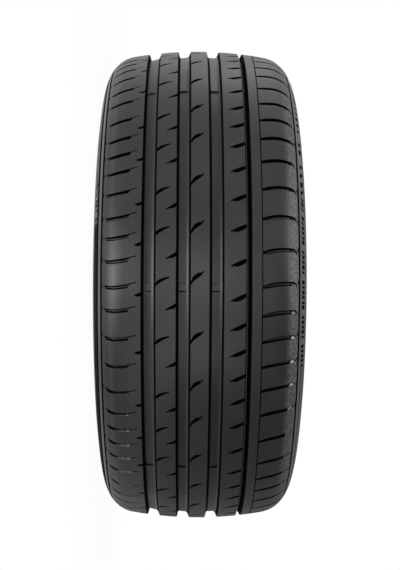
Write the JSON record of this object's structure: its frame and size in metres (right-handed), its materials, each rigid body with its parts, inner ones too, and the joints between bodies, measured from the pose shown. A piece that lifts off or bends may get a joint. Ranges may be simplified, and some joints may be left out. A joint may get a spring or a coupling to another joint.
{
  "type": "car tyre",
  "caption": "Low-profile passenger car tyre with an asymmetric tread of ribs, grooves and slots, for a one-piece drop-centre wheel.",
  "frame": {"origin": "centre of the tyre, on the wheel's spin axis at the middle plane of the tread, so the tyre lies on its left sidewall", "axes": "+Z along the spin axis, towards the outer side, the shoulder with the closed slots; -Y towards the camera of the picture"},
  "size_m": [0.6532, 0.6532, 0.2532],
  "materials": {
    "tyre": "satin moulded rubber, a little glossier on the shoulders"
  },
  "bodies": {
    "root": {"tyre": "tyre"}
  },
  "joints": []
}
